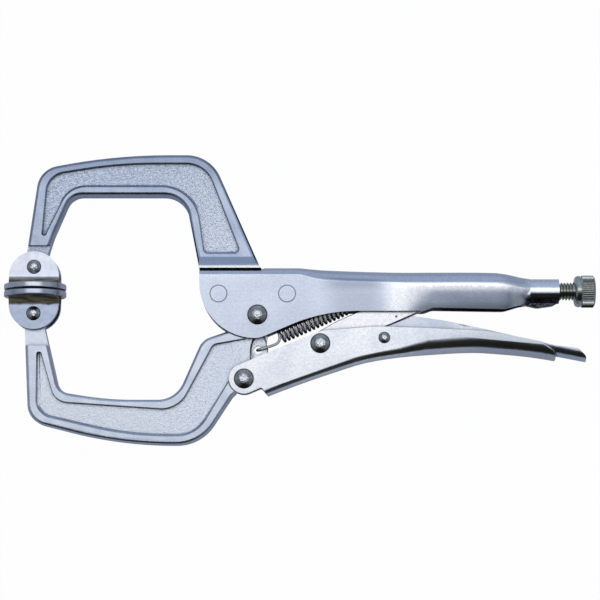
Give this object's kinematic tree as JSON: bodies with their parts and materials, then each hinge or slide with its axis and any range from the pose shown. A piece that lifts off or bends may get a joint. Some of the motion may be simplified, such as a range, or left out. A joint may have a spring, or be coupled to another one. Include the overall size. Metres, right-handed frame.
{
  "type": "locking c-clamp pliers",
  "caption": "Locking pliers with deep C-shaped forged jaws, swivel pads, sheet-metal handles, toggle link, tension spring, adjusting screw and release lever.",
  "frame": {"origin": "centre of the bounding box on its lowest plane, where the tool lying on its side rests on the rims of its pads", "axes": "+X along the tool from the pads to the screw's head, +Y from the moving jaw to the fixed jaw, +Z out of the side that the picture shows"},
  "size_m": [0.2808, 0.1382, 0.0295],
  "materials": {
    "forged_jaw": "satin nickel plate over a finely grained forging",
    "plated_sheet": "satin nickel plate on pressed sheet steel",
    "link_steel": "satin nickel plate",
    "rivet_steel": "polished plated steel",
    "pad_steel": "bright nickel plate",
    "screw_steel": "plated steel, rolled thread and straight knurl",
    "spring_wire": "dark spring wire"
  },
  "bodies": {
    "upper": {"upper_handle": "plated_sheet", "upper_jaw": "forged_jaw", "jaw_rivets": "plated_sheet", "jaw_pivot_rivet": "rivet_steel", "tension_spring": "spring_wire"},
    "moving_jaw": {"lower_jaw": "forged_jaw"},
    "handle": {"lower_handle": "plated_sheet", "handle_pivot_rivet": "rivet_steel", "link_pivot_rivet": "rivet_steel", "release_lever_rivet": "rivet_steel"},
    "link": {"toggle_link": "link_steel"},
    "lever": {"release_lever": "plated_sheet"},
    "screw": {"adjusting_screw": "screw_steel"},
    "pad_above": {"upper_pad": "pad_steel", "upper_pad_rivet": "rivet_steel"},
    "pad_below": {"lower_pad": "pad_steel", "lower_pad_rivet": "rivet_steel"}
  },
  "joints": [
    {"name": "jaw_pivot", "type": "hinge", "parent": "upper", "child": "moving_jaw", "pos_m": [-0.01992, -0.0077, 0.01475], "axis": [0, 0, 1], "range_deg": [0, 22], "deforming": ["tension_spring"]},
    {"name": "handle_pivot", "type": "hinge", "parent": "moving_jaw", "child": "handle", "pos_m": [-0.02622, -0.0379, 0.01475], "axis": [0, 0, 1], "range_deg": [-55.5, 0]},
    {"name": "link_pivot", "type": "hinge", "parent": "handle", "child": "link", "pos_m": [0.00978, -0.0212, 0.01475], "axis": [0, 0, 1], "range_deg": [0, 59.9]},
    {"name": "lever_pivot", "type": "hinge", "parent": "handle", "child": "lever", "pos_m": [0.03997, -0.0185, 0.01475], "axis": [0, 0, 1], "range_deg": [0, 2]},
    {"name": "screw_travel", "type": "slide", "parent": "upper", "child": "screw", "axis": [1, 0, 0], "range_m": [0, 0.024]},
    {"name": "upper_pad_swivel", "type": "hinge", "parent": "upper", "child": "pad_above", "pos_m": [-0.12562, 0.01505, 0.01475], "axis": [0, 0, 1], "range_deg": [-20, 20]},
    {"name": "lower_pad_swivel", "type": "hinge", "parent": "moving_jaw", "child": "pad_below", "pos_m": [-0.12562, -0.00705, 0.01475], "axis": [0, 0, 1], "range_deg": [-20, 20]}
  ],
  "couplings": [
    {"joint": "handle_pivot", "follows": "jaw_pivot", "ratio": -2.5},
    {"joint": "link_pivot", "follows": "jaw_pivot", "ratio": 2.7},
    {"joint": "upper_pad_swivel", "follows": "jaw_pivot", "ratio": 0.5},
    {"joint": "lower_pad_swivel", "follows": "jaw_pivot", "ratio": -0.5}
  ]
}
